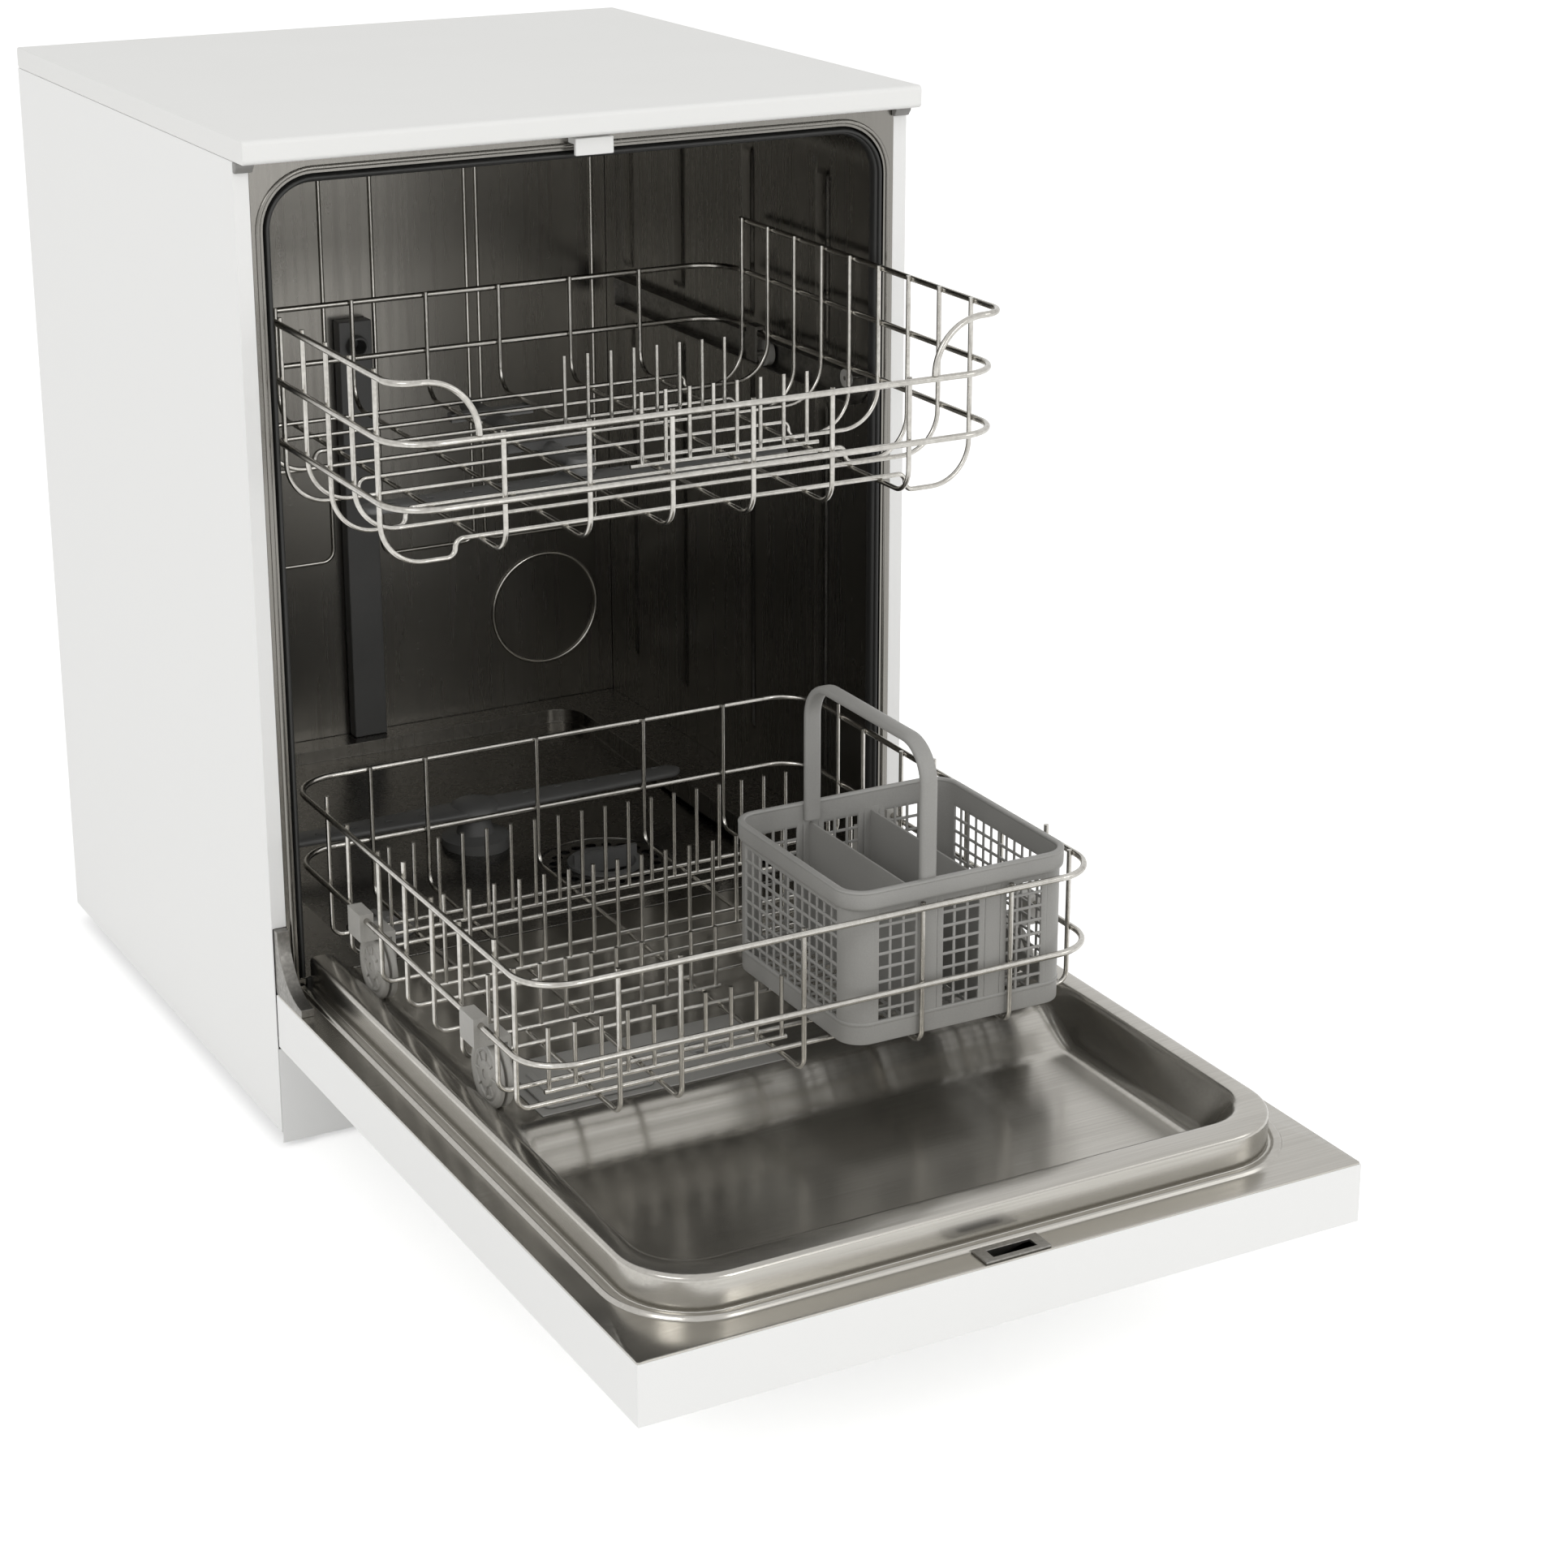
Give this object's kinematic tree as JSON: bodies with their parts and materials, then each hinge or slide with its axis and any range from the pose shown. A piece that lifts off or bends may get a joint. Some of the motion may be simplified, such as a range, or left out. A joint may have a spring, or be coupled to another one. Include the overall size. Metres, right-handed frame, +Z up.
{
  "type": "dishwasher",
  "caption": "Freestanding dishwasher, door open flat, with wheeled lower rack, sliding upper rack, spray arms and lift-out cutlery basket.",
  "frame": {"origin": "on the floor under the middle of the whole outline, with the door open and the racks out", "axes": "+X to the right for someone facing the machine, +Y from the open door towards the back, +Z up"},
  "size_m": [0.598, 1.257, 0.85],
  "materials": {
    "worktop_laminate": "white laminate",
    "white_enamel": "smooth white stove enamel",
    "white_plastic": "white moulded plastic",
    "galvanised_steel": "galvanised sheet",
    "tray_plastic": "dark grey moulded plastic",
    "tub_steel": "stainless sheet, bright rolled",
    "liner_steel": "stainless sheet, brushed along the door's width",
    "frame_steel": "stainless sheet, satin",
    "zinc_steel": "zinc-plated steel",
    "rack_wire": "satin steel wire with a clear coat",
    "gasket_rubber": "soft black seal",
    "foot_plastic": "black moulded plastic",
    "cap_grey": "grey moulded plastic",
    "wheel_grey": "light grey nylon",
    "basket_grey": "mid grey moulded plastic",
    "spray_grey": "grey moulded plastic",
    "dispenser_grey": "light grey moulded plastic",
    "machine_plastic": "grey moulded plastic",
    "button_metal": "satin metal"
  },
  "bodies": {
    "cabinet_and_door": {"base_tray": "tray_plastic", "levelling_feet": "foot_plastic", "side_panels": "white_enamel", "worktop": "worktop_laminate", "back_panel": "galvanised_steel", "kick_plate": "white_enamel", "corner_caps": "cap_grey", "tub_wrapper": "tub_steel", "tub_back": "tub_steel", "tub_floor": "tub_steel", "front_frame": "frame_steel", "door_gasket": "gasket_rubber", "threshold_seal": "gasket_rubber", "latch_striker": "white_plastic", "rack_rails": "zinc_steel", "sump": "machine_plastic", "filter_plate": "frame_steel", "spray_hub": "spray_grey", "feed_duct": "spray_grey", "wash_pump": "machine_plastic", "drain_pump": "machine_plastic", "inlet_valve": "machine_plastic", "drain_spigot": "machine_plastic", "water_softener": "white_plastic", "hinge_arms": "zinc_steel", "hinge_pins": "zinc_steel", "door_shell": "white_enamel", "door_liner": "liner_steel", "control_fascia": "white_plastic", "door_latch": "zinc_steel", "dispenser_body": "dispenser_grey"},
    "front_rollers": {"front_rollers": "wheel_grey"},
    "filter_cylinder": {"filter_cylinder": "spray_grey"},
    "salt_cap": {"salt_cap": "cap_grey"},
    "lower_spray_arm": {"lower_spray_arm": "spray_grey"},
    "power_button": {"power_button": "button_metal"},
    "start_button": {"start_button": "button_metal"},
    "program_knob": {"program_knob": "cap_grey"},
    "dispenser_lid": {"dispenser_lid": "dispenser_grey"},
    "rinse_aid_cap": {"rinse_aid_cap": "cap_grey"},
    "upper_rack": {"upper_rack_sides": "rack_wire", "upper_rack_ends": "rack_wire", "upper_rack_corners": "rack_wire", "upper_rack_floor": "rack_wire", "upper_tines": "rack_wire", "roller_brackets": "zinc_steel", "upper_spray_pipe": "spray_grey"},
    "rear_rollers": {"rear_rollers": "wheel_grey"},
    "upper_spray_arm": {"upper_spray_arm": "spray_grey"},
    "lower_rack": {"lower_rack_sides": "rack_wire", "lower_rack_ends": "rack_wire", "lower_rack_corners": "rack_wire", "lower_rack_floor": "rack_wire", "lower_tines": "rack_wire", "wheel_brackets": "wheel_grey"},
    "wheel_front_left": {"wheel_front_left": "wheel_grey"},
    "wheel_front_right": {"wheel_front_right": "wheel_grey"},
    "wheel_rear_left": {"wheel_rear_left": "wheel_grey"},
    "wheel_rear_right": {"wheel_rear_right": "wheel_grey"},
    "cutlery_basket": {"cutlery_basket": "basket_grey"}
  },
  "joints": [
    {"name": "upper_rack_slide", "type": "slide", "parent": "cabinet_and_door", "child": "upper_rack", "axis": [0, 1, 0], "range_m": [0, 0.255]},
    {"name": "lower_rack_slide", "type": "slide", "parent": "cabinet_and_door", "child": "lower_rack", "axis": [0, 1, 0], "range_m": [0, 0.435]},
    {"name": "front_roller_spin", "type": "hinge", "parent": "cabinet_and_door", "child": "front_rollers", "pos_m": [0, 0.0805, 0.5901], "axis": [1, 0, 0], "range_deg": [-1830, 10]},
    {"name": "rear_roller_spin", "type": "hinge", "parent": "upper_rack", "child": "rear_rollers", "pos_m": [0, 0.24088, 0.58], "axis": [1, 0, 0], "range_deg": [-1200, 10]},
    {"name": "upper_arm_spin", "type": "hinge", "parent": "upper_rack", "child": "upper_spray_arm", "pos_m": [0, 0.0685, 0.5355], "axis": [0, 0, 1], "continuous": true},
    {"name": "lower_arm_spin", "type": "hinge", "parent": "cabinet_and_door", "child": "lower_spray_arm", "pos_m": [0, 0.3165, 0.159], "axis": [0, 0, 1], "continuous": true},
    {"name": "filter_lock_turn", "type": "hinge", "parent": "cabinet_and_door", "child": "filter_cylinder", "pos_m": [0.09, 0.2245, 0.118], "axis": [0, 0, 1], "range_deg": [0, 90]},
    {"name": "salt_cap_turn", "type": "hinge", "parent": "cabinet_and_door", "child": "salt_cap", "pos_m": [-0.16, 0.1545, 0.13], "axis": [0, 0, 1], "range_deg": [0, 270]},
    {"name": "rinse_cap_turn", "type": "hinge", "parent": "cabinet_and_door", "child": "rinse_aid_cap", "pos_m": [-0.044, -0.2385, 0.15], "axis": [0, 0, 1], "range_deg": [0, 90]},
    {"name": "dispenser_lid_slide", "type": "slide", "parent": "cabinet_and_door", "child": "dispenser_lid", "axis": [1, 0, 0], "range_m": [0, 0.08]},
    {"name": "power_button_press", "type": "slide", "parent": "cabinet_and_door", "child": "power_button", "axis": [0, 0, 1], "range_m": [0, 0.0025], "stiffness_N_per_m": 400, "springref_m": -0.002},
    {"name": "start_button_press", "type": "slide", "parent": "cabinet_and_door", "child": "start_button", "axis": [0, 0, 1], "range_m": [0, 0.0025], "stiffness_N_per_m": 400, "springref_m": -0.002},
    {"name": "program_knob_turn", "type": "hinge", "parent": "cabinet_and_door", "child": "program_knob", "pos_m": [0.19, -0.5705, 0.087], "axis": [0, 0, 1], "continuous": true},
    {"name": "basket_lift", "type": "slide", "parent": "lower_rack", "child": "cutlery_basket", "axis": [0, 0, 1], "range_m": [0, 0.11]},
    {"name": "wheel_front_left_spin", "type": "hinge", "parent": "lower_rack", "child": "wheel_front_left", "pos_m": [-0.232, -0.2495, 0.1773], "axis": [1, 0, 0], "range_deg": [-925, 5]},
    {"name": "wheel_rear_left_spin", "type": "hinge", "parent": "lower_rack", "child": "wheel_rear_left", "pos_m": [-0.232, -0.0215, 0.1773], "axis": [1, 0, 0], "range_deg": [-925, 5]},
    {"name": "wheel_front_right_spin", "type": "hinge", "parent": "lower_rack", "child": "wheel_front_right", "pos_m": [0.232, -0.2495, 0.1773], "axis": [1, 0, 0], "range_deg": [-925, 5]},
    {"name": "wheel_rear_right_spin", "type": "hinge", "parent": "lower_rack", "child": "wheel_rear_right", "pos_m": [0.232, -0.0215, 0.1773], "axis": [1, 0, 0], "range_deg": [-925, 5]}
  ],
  "couplings": [
    {"joint": "front_roller_spin", "follows": "upper_rack_slide", "rad_per_m": -125},
    {"joint": "rear_roller_spin", "follows": "upper_rack_slide", "rad_per_m": -81.967},
    {"joint": "wheel_front_left_spin", "follows": "lower_rack_slide", "rad_per_m": -37.037},
    {"joint": "wheel_rear_left_spin", "follows": "lower_rack_slide", "rad_per_m": -37.037},
    {"joint": "wheel_front_right_spin", "follows": "lower_rack_slide", "rad_per_m": -37.037},
    {"joint": "wheel_rear_right_spin", "follows": "lower_rack_slide", "rad_per_m": -37.037}
  ]
}
